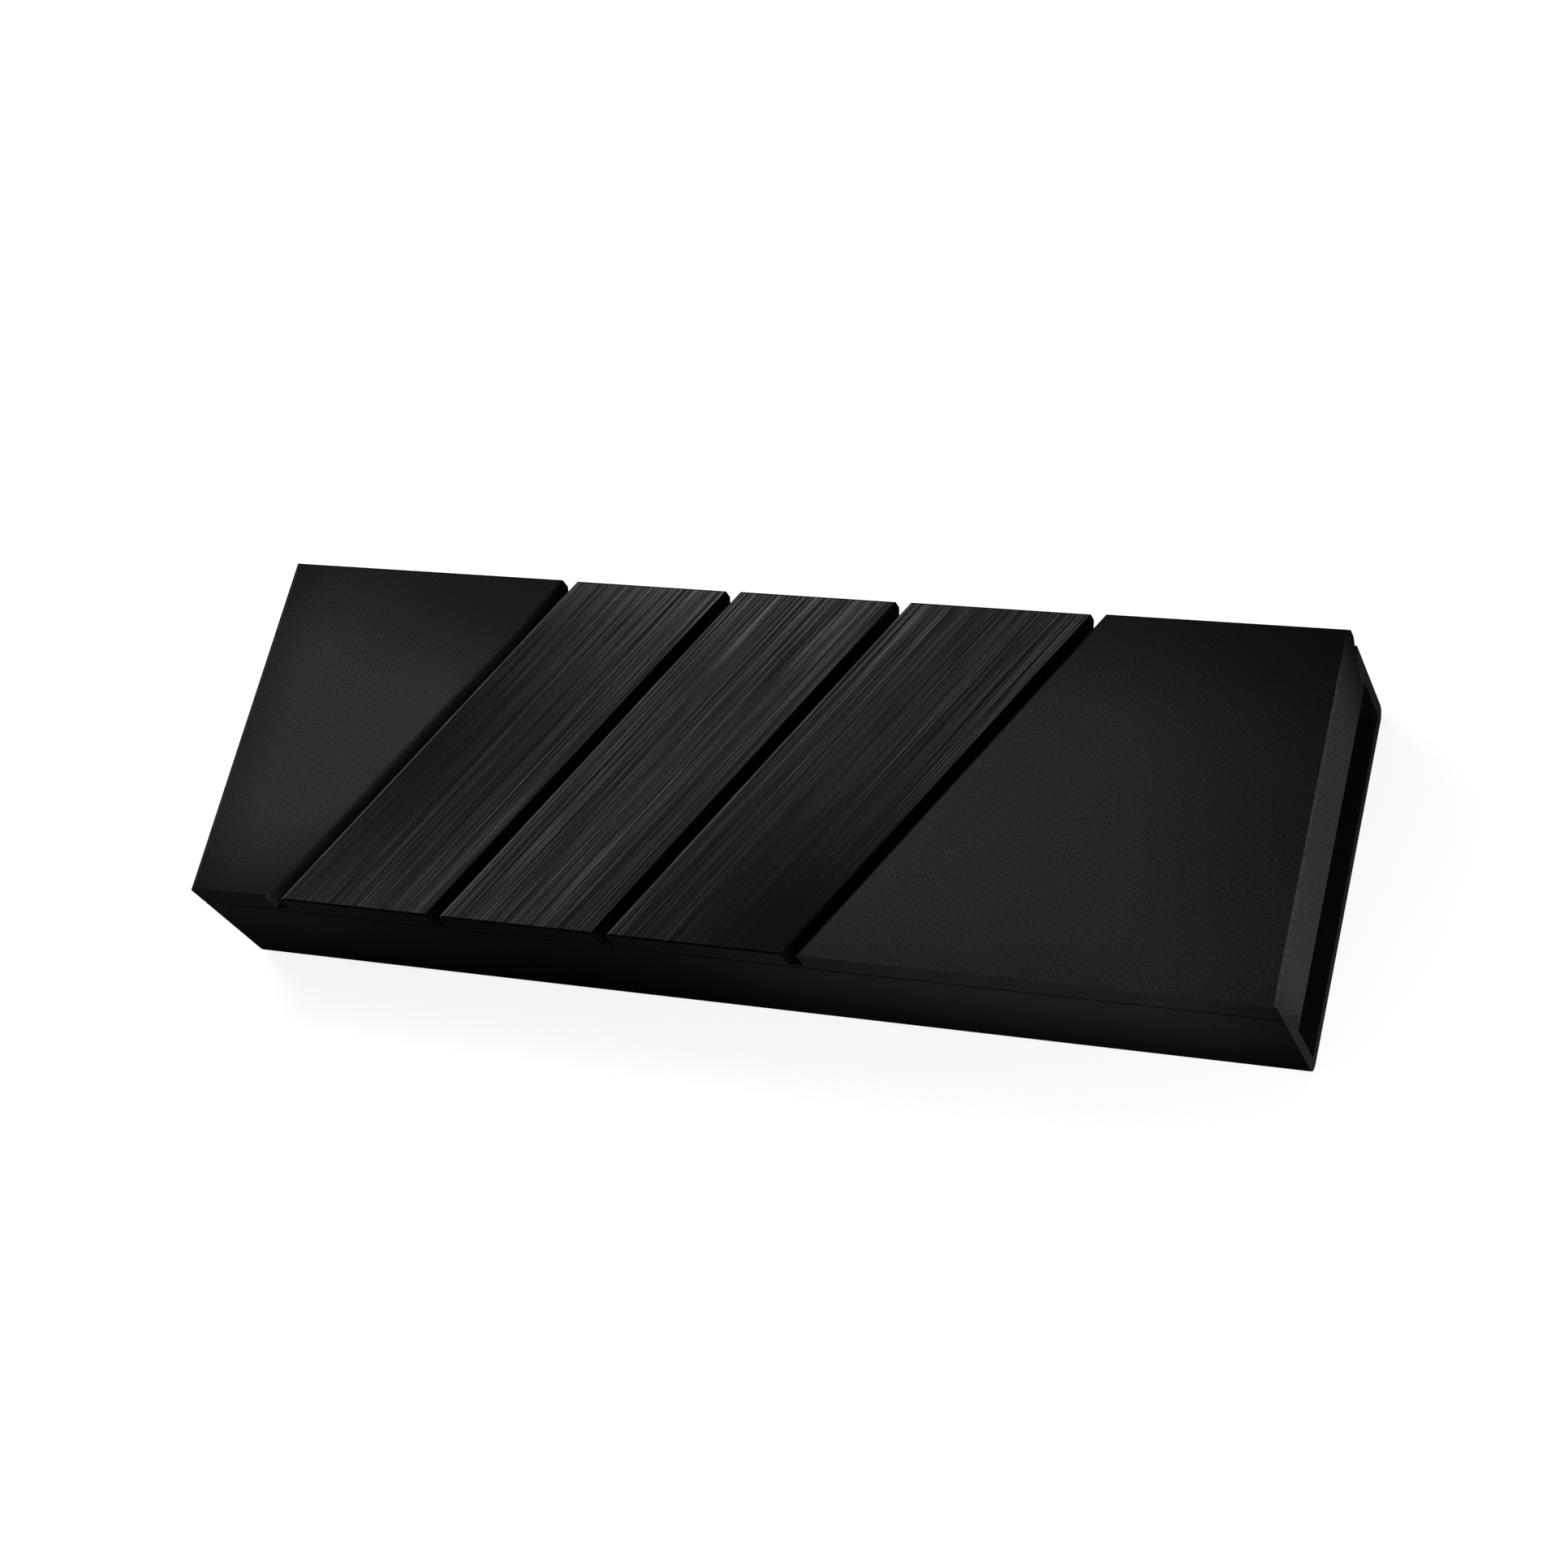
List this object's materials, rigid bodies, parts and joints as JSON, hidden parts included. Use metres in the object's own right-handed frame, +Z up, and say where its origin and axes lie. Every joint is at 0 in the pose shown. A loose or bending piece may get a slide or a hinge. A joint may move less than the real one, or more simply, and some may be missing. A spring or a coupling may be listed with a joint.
{
  "type": "ssd heat sink",
  "caption": "Clip-together black aluminium heat sink for a solid-state drive board: a block with diagonal grooves and brushed strips snaps into an open-ended tray.",
  "frame": {"origin": "middle of the tray's flat underside", "axes": "+X along the drive, towards the end with the larger matt land; +Y across, towards the side whose seam stands open; +Z up, out of the grooved top"},
  "size_m": [0.0732, 0.0244, 0.011],
  "materials": {
    "tray_anodised": "fine blasted, black anodised, satin",
    "block_anodised": "fine blasted, black anodised, matt, with dark brushed strips",
    "thermal_pad": "soft silicone, matt"
  },
  "bodies": {
    "root": {"base_tray": "tray_anodised", "top_block": "block_anodised", "lower_thermal_pad": "thermal_pad", "upper_thermal_pad": "thermal_pad"}
  },
  "joints": []
}
